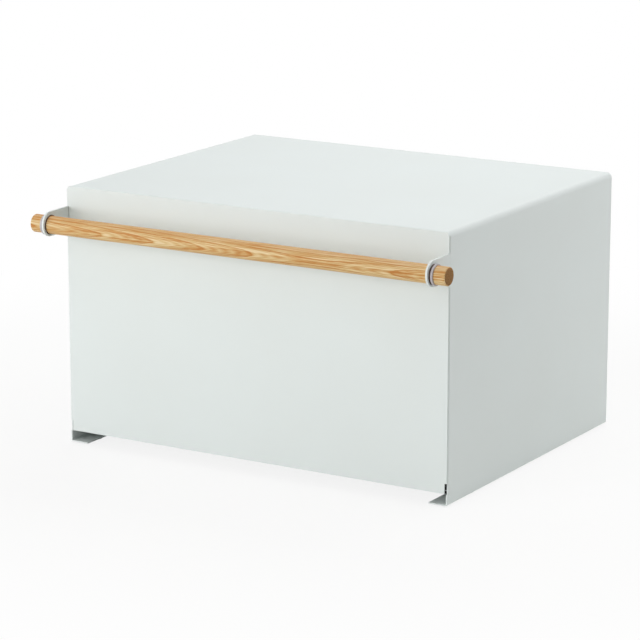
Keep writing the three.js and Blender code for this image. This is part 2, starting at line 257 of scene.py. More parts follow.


# Oiled wood of the bar: its tones run from honey brown to cream, darker in the pores, with painted shade
# along its upper side
def ashMaterial(name, tones, roughness):
    material, tree = newMaterial(name)
    tone, pores, paintedTopShade = ashGrain(tree)
    pored = addNode(tree, "Math", {"operation": "MULTIPLY_ADD"}, {0: pores, 1: -ash["poreShare"], 2: tone})
    plain = addNode(tree, "ValToRGB", None, {"Fac": pored}, tones)
    colour = addNode(tree, "Mix", {"data_type": "RGBA"}, {
        "Factor": paintedTopShade, "A": plain, "B": linearFrom(ash["paintedTopShade"]),
    })
    bump = addNode(tree, "Bump", {"invert": True}, {"Height": pores, "Distance": ash["poreDepth"]})
    wood = addNode(tree, "BsdfPrincipled", None, {
        "Base Color": colour, "Roughness": roughness, "Specular IOR Level": ash["specular"],
        "Normal": bump,
    })
    addNode(tree, "OutputMaterial", None, {"Surface": wood})
    return material


silicone = {
    "grey": ("#c2bcbf", "#b7b1b4"),
    # painted shade: dark brown for the sleeve that stands for the shadowed gap round the bar in each ear
    "brown": ("#472a1e", "#3a2218"),
    # painted shade: near black for the block and walls that stand for the shadow inside the door's notches
    "black": ("#161514", "#0f0e0e"),
    "dustSize": 2.5,  # mm
    "skinSize": 0.35,  # mm between the fine pits of the mould
    "skinDepth": 0.01 * mm,
    "roughness": 0.62,
}


# Soft silicone, moulded with a matt skin that gathers a little dust, so that it never shines
def mouldedSilicone(name, lighter, darker):
    material, tree = newMaterial(name)
    dust = addNode(tree, "TexNoise", None, {
        "Vector": patternPlace(tree, [silicone["dustSize"]] * 3), "Scale": 1, "Detail": 3,
    })
    skin = addNode(tree, "TexNoise", None, {
        "Vector": patternPlace(tree, [silicone["skinSize"]] * 3), "Scale": 1, "Detail": 1,
    })
    colour = addNode(tree, "Mix", {"data_type": "RGBA"}, {
        "Factor": dust, "A": linearFrom(lighter), "B": linearFrom(darker),
    })
    bump = addNode(tree, "Bump", None, {"Height": skin, "Distance": silicone["skinDepth"]})
    rubber = addNode(tree, "BsdfPrincipled", None, {
        "Base Color": colour, "Roughness": silicone["roughness"], "Normal": bump,
    })
    addNode(tree, "OutputMaterial", None, {"Surface": rubber})
    return material


zinc = {
    "light": "#c3c6c9",
    "dark": "#aeb1b5",
    "cloudSize": 0.9,  # mm
    "turning": (0.08, 1.6, 1.6),  # mm, the fine marks that turning leaves round a piece
    "turningDepth": 0.004 * mm,
    "roughness": 0.26,
    "roughnessSpread": 0.12,
}


# Turned steel with a bright zinc plate: fine marks round each piece under a slightly cloudy metal
def brightZinc():
    material, tree = newMaterial("brightZincSteel")
    cloud = addNode(tree, "TexNoise", None, {
        "Vector": patternPlace(tree, [zinc["cloudSize"]] * 3), "Scale": 1, "Detail": 2,
    })
    marks = addNode(tree, "TexNoise", None, {
        "Vector": patternPlace(tree, zinc["turning"]), "Scale": 1, "Detail": 1,
    })
    colour = addNode(tree, "Mix", {"data_type": "RGBA"}, {
        "Factor": cloud, "A": linearFrom(zinc["light"]), "B": linearFrom(zinc["dark"]),
    })
    bump = addNode(tree, "Bump", None, {"Height": marks, "Distance": zinc["turningDepth"]})
    roughness = addNode(tree, "Math", {"operation": "MULTIPLY_ADD"}, {
        0: cloud, 1: zinc["roughnessSpread"], 2: zinc["roughness"],
    })
    steel = addNode(tree, "BsdfPrincipled", None, {
        "Base Color": colour, "Metallic": 1, "Roughness": roughness, "Normal": bump,
    })
    addNode(tree, "OutputMaterial", None, {"Surface": steel})
    return material


nickel = {
    "light": "#c9c4ba",
    "dark": "#b8b3a9",
    "tumbleSize": 0.5,  # mm between the dents of the barrel
    "tumbleDepth": 0.006 * mm,
    "roughness": 0.2,
    "roughnessSpread": 0.14,
}


# Barrel-plated nickel on a pressed magnet: warm, bright metal with a faint tumbled texture
def nickelPlate():
    material, tree = newMaterial("tumbledNickel")
    tumble = addNode(tree, "TexNoise", None, {
        "Vector": patternPlace(tree, [nickel["tumbleSize"]] * 3), "Scale": 1, "Detail": 3,
    })
    colour = addNode(tree, "Mix", {"data_type": "RGBA"}, {
        "Factor": tumble, "A": linearFrom(nickel["light"]), "B": linearFrom(nickel["dark"]),
    })
    bump = addNode(tree, "Bump", None, {"Height": tumble, "Distance": nickel["tumbleDepth"]})
    roughness = addNode(tree, "Math", {"operation": "MULTIPLY_ADD"}, {
        0: tumble, 1: nickel["roughnessSpread"], 2: nickel["roughness"],
    })
    metal = addNode(tree, "BsdfPrincipled", None, {
        "Base Color": colour, "Metallic": 1, "Roughness": roughness, "Normal": bump,
    })
    addNode(tree, "OutputMaterial", None, {"Surface": metal})
    return material


nylon = {
    "light": "#e8e4da",
    "dark": "#dcd7cb",
    "flowSize": 1.5,  # mm
    "flowDepth": 0.01 * mm,
    "roughness": 0.42,
    "milkiness": 0.1,
    "lightReach": (1 * mm, 0.9 * mm, 0.8 * mm),  # how far red, green and blue light go into it
}


# Natural nylon, moulded: milky and slightly waxy
def milkyNylon():
    material, tree = newMaterial("milkyNylon")
    flow = addNode(tree, "TexNoise", None, {
        "Vector": patternPlace(tree, [nylon["flowSize"]] * 3), "Scale": 1, "Detail": 2,
    })
    colour = addNode(tree, "Mix", {"data_type": "RGBA"}, {
        "Factor": flow, "A": linearFrom(nylon["light"]), "B": linearFrom(nylon["dark"]),
    })
    bump = addNode(tree, "Bump", None, {"Height": flow, "Distance": nylon["flowDepth"]})
    plastic = addNode(tree, "BsdfPrincipled", None, {
        "Base Color": colour, "Roughness": nylon["roughness"], "Normal": bump,
        "Subsurface Weight": nylon["milkiness"], "Subsurface Radius": nylon["lightReach"],
        "Subsurface Scale": 1,
    })
    addNode(tree, "OutputMaterial", None, {"Surface": plastic})
    return material


finishes = {
    "white_powder_coat": powderCoat(),
    "oiled_ash": ashMaterial("oiledAsh", ash["tones"], ash["roughness"]),
    "grey_silicone": mouldedSilicone("greySilicone", *silicone["grey"]),
    "bright_steel": brightZinc(),
    "nickel_plate": nickelPlate(),
    "white_nylon": milkyNylon(),
}
ashEnds = ashMaterial("ashEndGrain", ash["endTones"], ash["endRoughness"])
# painted shade: dark brown that stands for the shadowed gap round the bar
gapShadeFinish = mouldedSilicone("paintedGapShade", *silicone["brown"])
# painted shade: near black that stands for the shadow inside the door's notches
notchShadeFinish = mouldedSilicone("paintedNotchShade", *silicone["black"])
print("materials ready")


# Mesh helpers

meshing = {
    "weld": 0.002 * mm,  # points nearer than this are merged
    "samePlace": 0.01 * mm,  # places nearer than this count as one
    "foldAngle": math.radians(60),  # edges sharper than this are the folds of a sheet
    "edgeAngle": math.radians(34),  # edges sharper than this are rounded on the finished piece
    "edgeSteps": 3,
    "turnedSteps": 5,
    "profile": 0.5,  # a plain arc
}


# Points joined by edges, in order
def wire(bm, points, closed=False):
    corners = [bm.verts.new(p) for p in points]
    following = corners[1:] + corners[:1] if closed else corners[1:]
    return corners, [bm.edges.new(pair) for pair in zip(corners, following)]


# A bevel cuts each corner, or each edge, back by a reach on both sides and puts an arc between
def roundCorners(bm, corners, reach, steps, affect="VERTICES"):
    bmesh.ops.bevel(bm, geom=corners, offset=reach, offset_type="OFFSET", segments=steps,
                    profile=meshing["profile"], affect=affect, clamp_overlap=True, material=-1)


# Rounds the folds of a sheet, which are its edges between faces at a right angle
def roundFolds(bm, radius, steps):
    bmesh.ops.recalc_face_normals(bm, faces=bm.faces)
    inside = [edge for edge in bm.edges if len(edge.link_faces) == 2]
    folds = [edge for edge in inside if edge.calc_face_angle() > meshing["foldAngle"]]
    roundCorners(bm, folds, radius, steps, "EDGES")


# Moves what an extrusion has just made
def moveNew(bm, made, way):
    bmesh.ops.translate(bm, verts=[part for part in made if isinstance(part, bmesh.types.BMVert)], vec=way)


# Draws edges out into faces, and faces out into a thick plate
def pull(bm, edges, way):
    moveNew(bm, bmesh.ops.extrude_edge_only(bm, edges=edges)["geom"], way)


def thicken(bm, way):
    moveNew(bm, bmesh.ops.extrude_face_region(bm, geom=bm.faces[:])["geom"], way)


# Opens round holes in a flat face. A rim of quads stays along the outline and round each hole, so that
# every edge can be rounded cleanly
def openHoles(bm, face, rim, centres, radius, steps, facing):
    bmesh.ops.inset_region(bm, faces=[face], thickness=rim, use_boundary=True, use_even_offset=True)
    edges = set(face.edges)
    bmesh.ops.delete(bm, geom=[face], context="FACES_ONLY")
    turn = along["z"].rotation_difference(facing).to_matrix().to_4x4()
    for centre in centres:
        loops = []
        for reach in (radius, radius + rim):
            made = bmesh.ops.create_circle(bm, cap_ends=False, radius=reach, segments=steps,
                                           matrix=Matrix.Translation(centre) @ turn)["verts"]
            loops.append({edge for corner in made for edge in corner.link_edges})
        bmesh.ops.bridge_loops(bm, edges=list(loops[0] | loops[1]))
        edges |= loops[1]
    bmesh.ops.triangle_fill(bm, use_beauty=True, use_dissolve=False, edges=list(edges))


# A turned piece: its profile is a list of (radius, distance along the axis, rounding of that corner)
def spun(profile, centre, axis, steps, closed=False, angle=fullTurn):
    bm = bmesh.new()
    outward = axis.orthogonal().normalized()
    points = [centre + axis * at + outward * radius for radius, at, _ in profile]
    corners, _ = wire(bm, points, closed)
    for corner, (_, _, rounding) in zip(corners, profile):
        if rounding:
            roundCorners(bm, [corner], rounding, meshing["turnedSteps"])
    bmesh.ops.spin(bm, geom=bm.verts[:] + bm.edges[:], cent=centre, axis=axis, angle=angle, steps=steps,
                   use_merge=angle == fullTurn)
    return bm


# Middle, radius and half length of a round CAD node that lies along an axis
def roundSize(node, axis):
    low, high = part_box(node)
    radius = (high.z - low.z) / 2 if axis == "x" else (high.x - low.x) / 2
    half = (getattr(high, axis) - getattr(low, axis)) / 2
    return (low + high) / 2, radius, half


# Breaks the edges of a finished piece, as paint or tumbling does, so that they catch the light
def roundEdges(piece, width, segments=meshing["edgeSteps"]):
    bevel = piece.modifiers.new("roundedEdges", "BEVEL")
    bevel.width = width
    bevel.segments = segments
    bevel.limit_method = "ANGLE"
    bevel.angle_limit = meshing["edgeAngle"]
    weighted = piece.modifiers.new("evenShading", "WEIGHTED_NORMAL")
    weighted.keep_sharp = True


# Gives a folded surface its thickness, inward from the outside that was drawn
def sheetOf(piece, thickness):
    fold = piece.modifiers.new("sheet", "SOLIDIFY")
    fold.thickness = thickness
    fold.offset = -1
    fold.use_even_offset = True


# Cleans a mesh, makes it an object with its finish, and puts it in the place of a CAD node
def asPiece(name, bm, slot, body, node=None, finish=None):
    bmesh.ops.remove_doubles(bm, verts=bm.verts, dist=meshing["weld"])
    bmesh.ops.recalc_face_normals(bm, faces=bm.faces)
    mesh = bpy.data.meshes.new(name)
    bm.to_mesh(mesh)
    bm.free()
    mesh.shade_smooth()
    mesh.materials.append(finish or finishes[slot])
    piece = bpy.data.objects.new(name, mesh)
    bpy.context.scene.collection.objects.link(piece)
    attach(piece, body)
    if node:
        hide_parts(node)
    return piece


# Outer shell: one bent sheet, up the left side, over the top and down the right, with folded feet

shell = {
    "sheet": 1.2 * mm,
    "topBend": 5.2 * mm,
    "footBend": 2.2 * mm,
    "footReturn": 18.5 * mm,
    "footFront": 10.5 * mm,  # how high the feet reach in front, under the door
    "doorRoom": 1.5 * mm,
    "edgeRound": 0.22 * mm,
    "bendSteps": 16,
}


def bentShell():
    low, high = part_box("outer_shell")
    frontEdge = low.y + shell["doorRoom"]
    knee = low.z + shell["footFront"]
    half = high.x
    path = [(half - shell["footReturn"], low.z), (half, low.z), (half, knee), (half, high.z),
            (-half, high.z), (-half, knee), (-half, low.z), (shell["footReturn"] - half, low.z)]
    bm = bmesh.new()
    corners, _ = wire(bm, [(x, frontEdge, z) for x, z in path])
    roundCorners(bm, corners[3:5], shell["topBend"], shell["bendSteps"])
    roundCorners(bm, [corners[1], corners[6]], shell["footBend"], shell["bendSteps"] // 2)
    section = bm.edges[:]
    feet = [edge for edge in section if all(v.co.z < knee + shell["edgeRound"] for v in edge.verts)]
    pull(bm, section, (0, high.y - frontEdge, 0))
    pull(bm, feet, (0, low.y - frontEdge, 0))
    piece = asPiece("bent_shell", bm, "white_powder_coat", "box", "outer_shell")
    sheetOf(piece, shell["sheet"])
    roundEdges(piece, shell["edgeRound"])


# Door: a flat sheet, notched at both bottom corners, with two welded hinge tabs

door = {
    "sheet": 1.5 * mm,
    "cornerRound": 3.6 * mm,
    "notchHigh": 9.3 * mm,
    "notchWide": 2 * mm,
    "tabInset": 2.6 * mm,
    "tabHigh": 6 * mm,
    "tabSheet": 1.5 * mm,
    "boreRadius": 1.35 * mm,
    "boreSetback": 5 * mm,
    "boreSteps": 32,
    "tabRim": 0.4 * mm,
    "earGroove": 0.5 * mm,  # fine groove that is left beside each ear
    "edgeRound": 0.25 * mm,
    "cornerSteps": 14,
}


def doorPanel():
    low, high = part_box("door_panel")
    earLow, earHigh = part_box("door_ear_right")
    half = high.x
    notchInner = half - door["notchWide"]
    notchTop = low.z + door["notchHigh"]
    grooveEdge = earLow.x - door["earGroove"]
    rightSide = [(notchInner, low.z), (notchInner, notchTop), (half, notchTop), (half, earLow.z),
                 (grooveEdge, earLow.z), (grooveEdge, earHigh.z), (half, earHigh.z), (half, high.z)]
    leftSide = [(-x, z) for x, z in reversed(rightSide)]
    bm = bmesh.new()
    corners, _ = wire(bm, [(x, low.y, z) for x, z in rightSide + leftSide], closed=True)
    topCorners = corners[len(rightSide) - 1:len(rightSide) + 1]
    roundCorners(bm, topCorners, door["cornerRound"], door["cornerSteps"])
    bmesh.ops.contextual_create(bm, geom=bm.edges[:])
    thicken(bm, (0, door["sheet"], 0))
    for sign in leftAndRight.values():
        addHingeTab(bm, sign * (half - door["tabInset"]), -sign * door["tabSheet"], low)
    for face in bm.faces:
        middle = face.calc_center_median()
        if abs(abs(middle.x) - notchInner) < meshing["samePlace"] and middle.z < notchTop:
            face.material_index = 1  # painted shade: the notch's inner wall takes the near black that stands for the notch's shadow
    piece = asPiece("drop_down_door", bm, "white_powder_coat", "door", "door_panel")
    piece.data.materials.append(notchShadeFinish)
    roundEdges(piece, door["edgeRound"])


# A small plate square to the door, from its back face inward, round about its bore and the hinge's stud
def addHingeTab(bm, outerX, thickness, low):
    tab = bmesh.new()
    start = low.y + door["sheet"]
    end = low.y + door["boreSetback"] + door["tabHigh"] / 2
    top = low.z + door["tabHigh"]
    outline = [(start, low.z), (end, low.z), (end, top), (start, top)]
    corners, _ = wire(tab, [(outerX, y, z) for y, z in outline], closed=True)
    roundCorners(tab, corners[1:3], door["tabHigh"] / 2, door["cornerSteps"])
    plate = bmesh.ops.contextual_create(tab, geom=tab.edges[:])["faces"][0]
    bore = Vector((outerX, low.y + door["boreSetback"], low.z + door["tabHigh"] / 2))
    openHoles(tab, plate, door["tabRim"], [bore], door["boreRadius"], door["boreSteps"], along["x"])
    thicken(tab, (thickness, 0, 0))
    bmesh.ops.recalc_face_normals(tab, faces=tab.faces)
    made = bpy.data.meshes.new("hingeTab")
    tab.to_mesh(made)
    tab.free()
    bm.from_mesh(made)
    bpy.data.meshes.remove(made)


# painted shade: sizes of the near black block that stands for the shadow in each notch, and of its pin
notchShade = {
    "setBehind": 0.15 * mm,  # behind the door's sheet
    "play": 0.06 * mm,
    "depth": 2 * mm,
    "edgeRound": 0.15 * mm,
    "pinRadius": 0.5 * mm,  # a fine cross pin that divides the notch's dark slot
    "pinProud": 0.1 * mm,  # how far the pin stands out of the guard's front
    "pinSteps": 24,
}


# A near black block behind each notch, between the hinge tab and the shell, with a fine cross pin: painted
# shade, a dark piece that stands for the deep shadow in the notch
def notchShadeBlock(side):
    low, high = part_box("door_panel")
    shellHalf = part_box("outer_shell")[1].x
    start = high.x - door["tabInset"] + notchShade["play"]
    end = shellHalf - shell["sheet"] - notchShade["play"]
    front = low.y + door["sheet"] + notchShade["setBehind"]
    size = Vector((end - start, notchShade["depth"], door["notchHigh"]))
    x = leftAndRight[side] * (start + end) / 2
    middle = Vector((x, front + size.y / 2, low.z + size.z / 2))
    bm = bmesh.new()
    bmesh.ops.create_cube(bm, size=1, matrix=Matrix.LocRotScale(middle, None, size))
    piece = asPiece("notch_shade_block_" + side, bm, "grey_silicone", "door", finish=notchShadeFinish)
    roundEdges(piece, notchShade["edgeRound"])
    half = size.x / 2
    radius = notchShade["pinRadius"]
    pinMiddle = Vector((x, front + radius - notchShade["pinProud"], low.z + door["tabHigh"] / 2))
    pin = spun([(0, -half, 0), (radius, -half, 0), (radius, half, 0), (0, half, 0)],
               pinMiddle, along["x"], notchShade["pinSteps"])
    asPiece("notch_pin_" + side, pin, "bright_steel", "door")


# Door ears: round-ended plates let into the door's edges, each with a hole for the bar

ear = {
    "endRadius": 11.5 * mm,
    "holeRadius": 8.95 * mm,
    "holeSteps": 96,
    "coveStart": 20 * mm,  # from the door to where the cove under the ear runs out
    "rim": 0.6 * mm,
    "edgeRound": 0.22 * mm,
    "edgeSteps": 4,
    "roundSteps": 28,
}


def doorEar(side):
    low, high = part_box("door_ear_" + side)
    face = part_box("door_panel")[0].y
    underside = high.z - 2 * ear["endRadius"]
    drop = underside - low.z
    coveRadius = (ear["coveStart"] ** 2 + drop ** 2) / (2 * drop)
    coveReach = coveRadius * math.tan(math.asin(ear["coveStart"] / coveRadius) / 2)
    outline = [(high.y, high.z), (low.y, high.z), (low.y, underside),
               (face - ear["coveStart"] + coveReach, underside), (face, low.z), (high.y, low.z)]
    bm = bmesh.new()
    corners, _ = wire(bm, [(low.x, y, z) for y, z in outline], closed=True)
    roundCorners(bm, corners[3:4], coveReach, ear["roundSteps"] // 2)
    roundCorners(bm, corners[1:3], ear["endRadius"], ear["roundSteps"])
    bmesh.ops.remove_doubles(bm, verts=bm.verts, dist=meshing["weld"])
    plate = bmesh.ops.contextual_create(bm, geom=bm.edges[:])["faces"][0]
    barMiddle, _, _ = roundSize("handle_bar", "x")
    centre = Vector((low.x, barMiddle.y, barMiddle.z))
    openHoles(bm, plate, ear["rim"], [centre], ear["holeRadius"], ear["holeSteps"], along["x"])
    thicken(bm, (high.x - low.x, 0, 0))
    piece = asPiece("ear_" + side, bm, "white_powder_coat", "door", "door_ear_" + side)
    roundEdges(piece, ear["edgeRound"], ear["edgeSteps"])


# painted shade: sizes of the dark sleeve that stands for the shadowed gap round the bar
gapShade = {
    "inner": 8.32 * mm,
    "outer": 8.93 * mm,
    "innerReach": 0.7 * mm,  # how far it stands out of the ear towards the box's middle
    "outerReach": 1.4 * mm,  # and away from it
    "edgeRound": 0.15 * mm,
    "steps": 96,
}


# A thin dark brown sleeve round the bar, in the ear's hole, that shows as a fine line on both sides of it:
# painted shade, a dark piece that stands for the shadowed gap between the bar and the ear
def barGapShade(side):
    low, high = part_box("door_ear_" + side)
    start = min(abs(low.x), abs(high.x)) - gapShade["innerReach"]
    end = max(abs(low.x), abs(high.x)) + gapShade["outerReach"]
    profile = [(gapShade["inner"], start, 0), (gapShade["outer"], start, gapShade["edgeRound"]),
               (gapShade["outer"], end, gapShade["edgeRound"]), (gapShade["inner"], end, 0)]
    barMiddle, _, _ = roundSize("handle_bar", "x")
    bm = spun(profile, barMiddle, along["x"] * leftAndRight[side], gapShade["steps"], closed=True)
    asPiece("bar_gap_shade_" + side, bm, "grey_silicone", "door", finish=gapShadeFinish)


# Bar and its rings

bar = {
    "endRound": 0.9 * mm,
    "endFacing": 0.9,  # faces whose normals have more than this share along the bar are its sawn ends
    "steps": 128,
}
ring = {
    "play": 0.1 * mm,
    "setOut": 0.2 * mm,  # how much narrower it is than its solid, on the ear's side
    "edgeRound": 0.9 * mm,
    "steps": 128,
}


def turnedBar():
    middle, radius, half = roundSize("handle_bar", "x")
    bm = spun([(0, -half, 0), (radius, -half, bar["endRound"]), (radius, half, bar["endRound"]),
               (0, half, 0)], middle, along["x"], bar["steps"])
    for face in bm.faces:
        face.normal_update()
        if abs(face.normal.x) > bar["endFacing"]:
            face.material_index = 1
    piece = asPiece("turned_ash_bar", bm, "oiled_ash", "bar", "handle_bar")
    piece.data.materials.append(ashEnds)


def barRing(side):
    middle, outer, half = roundSize("bar_ring_" + side, "x")
    inner = roundSize("handle_bar", "x")[1] + ring["play"]
    start = ring["setOut"] - half
    bm = spun([(inner, start, 0), (outer, start, ring["edgeRound"]), (outer, half, ring["edgeRound"]),
               (inner, half, 0)], middle, along["x"] * leftAndRight[side], ring["steps"], closed=True)
    asPiece("silicone_ring_" + side, bm, "grey_silicone", "bar", "bar_ring_" + side)


# Floor: a shallow tray turned over, folded down all round, with its front corners left out

tray = {
    "sheet": 1.2 * mm,
    "foldRadius": 1.8 * mm,
    "foldSteps": 6,
    "cornerWide": 12 * mm,
    "cornerDeep": 10 * mm,
    "edgeRound": 0.2 * mm,
}


def floorTray():
    low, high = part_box("floor_panel")
    half = high.x
    inner = half - tray["cornerWide"]
    step = low.y + tray["cornerDeep"]
    outline = [(-inner, low.y), (inner, low.y), (inner, step), (half, step), (half, high.y),
               (-half, high.y), (-half, step), (-inner, step)]
    bm = bmesh.new()
    _, edges = wire(bm, [(x, y, high.z) for x, y in outline], closed=True)
    bmesh.ops.contextual_create(bm, geom=edges)
    folded = [edges[i] for i in (0, 3, 4, 5)]  # front, right, rear and left, but not the front corners
    pull(bm, folded, (0, 0, low.z - high.z))
    roundFolds(bm, tray["foldRadius"], tray["foldSteps"])
    piece = asPiece("folded_floor", bm, "white_powder_coat", "box", "floor_panel")
    sheetOf(piece, tray["sheet"])
    roundEdges(piece, tray["edgeRound"])


# Back: a flat sheet with flanges folded forward along its top and sides, and a row of vents

back = {
    "sheet": 1.2 * mm,
    "cornerRound": 4.6 * mm,
    "cornerSteps": 12,
    "flangeStart": 11.2 * mm,  # the flanges begin this far above the sheet's lower edge, over the floor
    "foldRadius": 1.8 * mm,
    "foldSteps": 6,
    "rim": 3 * mm,
    "ventRadius": 3 * mm,
    "ventSteps": 32,
    "ventPitch": 18 * mm,
    "ventCount": 9,
    "ventDrop": 26.6 * mm,
    "edgeRound": 0.2 * mm,
}


def backPanel():
    low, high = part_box("back_panel")
    half = high.x
    knee = low.z + back["flangeStart"]
    outline = [(half, low.z), (half, knee), (half, high.z),
               (-half, high.z), (-half, knee), (-half, low.z)]
    bm = bmesh.new()
    corners, _ = wire(bm, [(x, high.y, z) for x, z in outline], closed=True)
    roundCorners(bm, corners[2:4], back["cornerRound"], back["cornerSteps"])
    sheet = bmesh.ops.contextual_create(bm, geom=bm.edges[:])["faces"][0]
    folded = [edge for edge in sheet.edges if all(v.co.z > knee - back["edgeRound"] for v in edge.verts)]
    first = -back["ventPitch"] * (back["ventCount"] - 1) / 2
    vents = [Vector((first + back["ventPitch"] * i, high.y, high.z - back["ventDrop"]))
             for i in range(back["ventCount"])]
    pull(bm, folded, (0, low.y - high.y, 0))
    openHoles(bm, sheet, back["rim"], vents, back["ventRadius"], back["ventSteps"], along["y"])
    roundFolds(bm, back["foldRadius"], back["foldSteps"])
    piece = asPiece("vented_back", bm, "white_powder_coat", "box", "back_panel")
    sheetOf(piece, back["sheet"])
    roundEdges(piece, back["edgeRound"])


# Front rail: an angle under the top sheet that carries the catch magnets and the door's buffers

rail = {
    "sheet": 1.2 * mm,
    "foldRadius": 1.8 * mm,
    "foldSteps": 6,
    "rim": 3 * mm,
    "holeRadius": 1.6 * mm,
    "holeSteps": 32,
    "edgeRound": 0.2 * mm,
}


def frontRail():
    low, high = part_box("front_rail")
    bm = bmesh.new()
    outline = [(low.x, low.z), (high.x, low.z), (high.x, high.z), (low.x, high.z)]
    _, edges = wire(bm, [(x, low.y, z) for x, z in outline], closed=True)
    front = bmesh.ops.contextual_create(bm, geom=edges)["faces"][0]
    rivets = [roundSize("magnet_rivet_" + side, "y")[0] for side in leftAndRight]
    holes = [Vector((rivetMiddle.x, low.y, rivetMiddle.z)) for rivetMiddle in rivets]
    pull(bm, edges[2:3], (0, high.y - low.y, 0))
    openHoles(bm, front, rail["rim"], holes, rail["holeRadius"], rail["holeSteps"], along["y"])
    roundFolds(bm, rail["foldRadius"], rail["foldSteps"])
    piece = asPiece("angle_rail", bm, "white_powder_coat", "box", "front_rail")
    sheetOf(piece, rail["sheet"])
    roundEdges(piece, rail["edgeRound"])


magnet = {
    "bore": 1.6 * mm,
    "mouth": 2.9 * mm,
    "sinkDepth": 1.3 * mm,
    "edgeRound": 0.3 * mm,
    "steps": 64,
}
rivet = {
    "headRadius": 2.8 * mm,
    "headDepth": 1.2 * mm,
    "shankRadius": 1.5 * mm,
    "tailRadius": 2.6 * mm,
    "tailThickness": 0.9 * mm,
    "dimpleRadius": 0.9 * mm,
    "dimpleDepth": 0.5 * mm,
    "edgeRound": 0.2 * mm,
    "steps": 48,
}
buffer = {"edgeRound": 0.8 * mm, "steps": 48}


# A countersunk disc magnet and the blind rivet that holds it to the rail
def catchMagnet(side):
    middle, radius, half = roundSize("catch_magnet_" + side, "y")
    profile = [(magnet["mouth"], -half, 0), (radius, -half, magnet["edgeRound"]),
               (radius, half, magnet["edgeRound"]), (magnet["bore"], half, 0),
               (magnet["bore"], magnet["sinkDepth"] - half, 0)]
    bm = spun(profile, middle, along["y"], magnet["steps"], closed=True)
    asPiece("disc_magnet_" + side, bm, "nickel_plate", "box", "catch_magnet_" + side)


def magnetRivet(side):
    middle, _, half = roundSize("magnet_rivet_" + side, "y")
    dimple = rivet["dimpleDepth"] - half
    tail = half - rivet["tailThickness"]
    rounding = rivet["edgeRound"]
    profile = [(0, dimple, 0), (rivet["dimpleRadius"], dimple, 0), (rivet["dimpleRadius"], -half, rounding),
               (rivet["headRadius"], -half, rounding), (rivet["shankRadius"], rivet["headDepth"] - half, 0),
               (rivet["shankRadius"], tail, 0), (rivet["tailRadius"], tail, rounding),
               (rivet["tailRadius"], half, rounding), (0, half, 0)]
    bm = spun(profile, middle, along["y"], rivet["steps"])
    asPiece("blind_rivet_" + side, bm, "bright_steel", "box", "magnet_rivet_" + side)


def doorBuffer(side):
    middle, radius, half = roundSize("door_buffer_" + side, "y")
    bm = spun([(0, -half, 0), (radius, -half, buffer["edgeRound"]), (radius, half, 0), (0, half, 0)],
              middle, along["y"], buffer["steps"])
    asPiece("buffer_dot_" + side, bm, "grey_silicone", "box", "door_buffer_" + side)


# Hinges: a welded stud, a nylon washer on it and a spring clip that keeps the door's tab on

hinge = {
    "studRound": 0.3 * mm,
    "bore": 1.35 * mm,
    "washerRound": 0.15 * mm,
    "clipRound": 0.1 * mm,
    "clipTurn": math.radians(300),  # the rest of the clip's ring is its mouth
    "steps": 48,
}


def hingePieces(side):
    middle, radius, half = roundSize("hinge_stud_" + side, "x")
    inward = along["x"] * -leftAndRight[side]
    bm = spun([(0, -half, 0), (radius, -half, 0), (radius, half, hinge["studRound"]), (0, half, 0)],
              middle, inward, hinge["steps"])
    asPiece("welded_stud_" + side, bm, "bright_steel", "box", "hinge_stud_" + side)
    flatRing("nylon_washer_" + side, "hinge_washer_" + side, "white_nylon", hinge["washerRound"])
    flatRing("spring_clip_" + side, "hinge_clip_" + side, "bright_steel", hinge["clipRound"],
             hinge["clipTurn"])


def flatRing(name, node, slot, rounding, turn=fullTurn):
    middle, outer, half = roundSize(node, "x")
    profile = [(hinge["bore"], -half, rounding), (outer, -half, rounding), (outer, half, rounding),
               (hinge["bore"], half, rounding)]
    bm = spun(profile, middle, along["x"], hinge["steps"], closed=True, angle=turn)
    bmesh.ops.holes_fill(bm, edges=[edge for edge in bm.edges if edge.is_boundary])
    asPiece(name, bm, slot, "box", node)


# Foot pads: soft discs stuck under the folded feet

pad = {"edgeRound": 0.4 * mm, "steps": 64}


def footPad(place):
    middle, radius, half = roundSize("foot_pad_" + place, "z")
    bm = spun([(0, -half, 0), (radius, -half, pad["edgeRound"]), (radius, half, 0), (0, half, 0)],
              middle, along["z"], pad["steps"])
    asPiece("stuck_pad_" + place, bm, "grey_silicone", "box", "foot_pad_" + place)


bentShell()
doorPanel()
turnedBar()
for side in leftAndRight:
    notchShadeBlock(side)
    doorEar(side)
    barGapShade(side)
    barRing(side)
print("outside pieces ready")

floorTray()
backPanel()
frontRail()
for side in leftAndRight:
    catchMagnet(side)
    magnetRivet(side)
    doorBuffer(side)
    hingePieces(side)
    footPad("front_" + side)
    footPad("rear_" + side)
print("inside pieces ready")


# The CAD nodes carry their slots' finishes too

slotOf = {part["node"]: part["material_slot"] for part in frame["record"]["subparts"]}
for name, node in frame["nodes"].items():
    node.data.materials.clear()
    node.data.materials.append(finishes[slotOf[name]])


# Studio: camera, soft lamps, pale floor

camera = {
    "place": (1.37188, -2.29175, 0.76262),  # fitted to the box's edges in the photograph
    "looksAlong": (-0.50237, 0.83185, -0.23589),
    "lens": 166.09,
    "sensor": 36,
    "clipEnd": 50,
}

